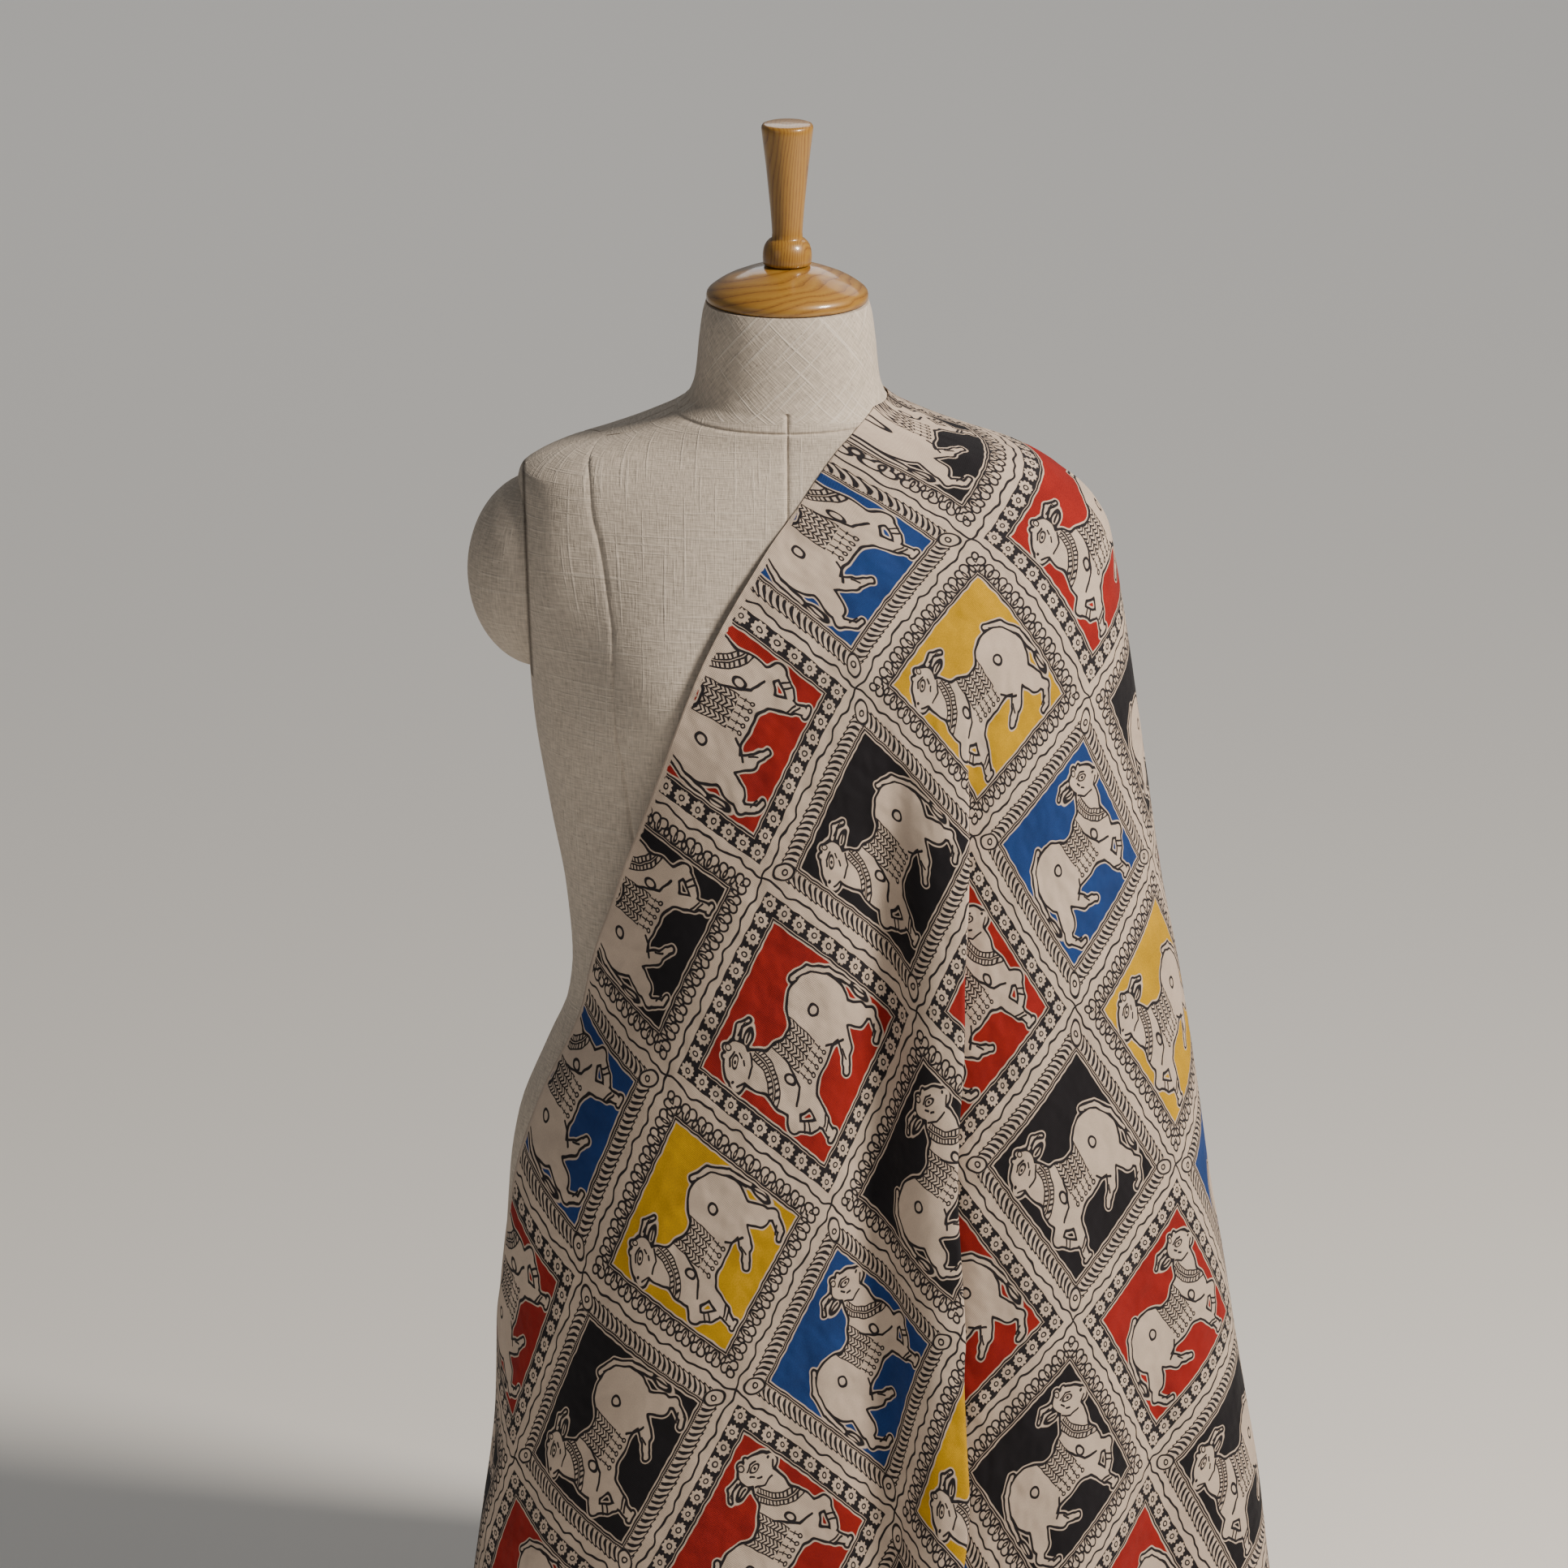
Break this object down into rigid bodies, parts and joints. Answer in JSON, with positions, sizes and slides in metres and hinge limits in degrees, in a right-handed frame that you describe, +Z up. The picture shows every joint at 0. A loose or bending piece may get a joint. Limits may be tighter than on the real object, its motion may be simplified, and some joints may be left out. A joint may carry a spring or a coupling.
{
  "type": "kalamkari cotton fabric on a dress form",
  "caption": "Block printed cotton cloth hanging from one shoulder of a linen covered dress form with a turned wooden neck cap and handle.",
  "frame": {"origin": "middle of the form's flat base, on the surface that it stands on", "axes": "+Z up along the form's axis, -Y to the form's front, +X to the side that carries the cloth"},
  "size_m": [0.5014, 0.3203, 0.9768],
  "materials": {
    "linen": "plain woven slubby linen, pale grey beige",
    "wood": "turned softwood with a clear gloss varnish",
    "printed_cotton": "plain woven cotton, block printed in black, red, blue and yellow on cream"
  },
  "bodies": {
    "root": {"form_torso": "linen", "arm_cap_right": "linen", "arm_cap_left": "linen", "neck_cap": "wood", "finial": "wood", "cloth": "printed_cotton"}
  },
  "joints": []
}
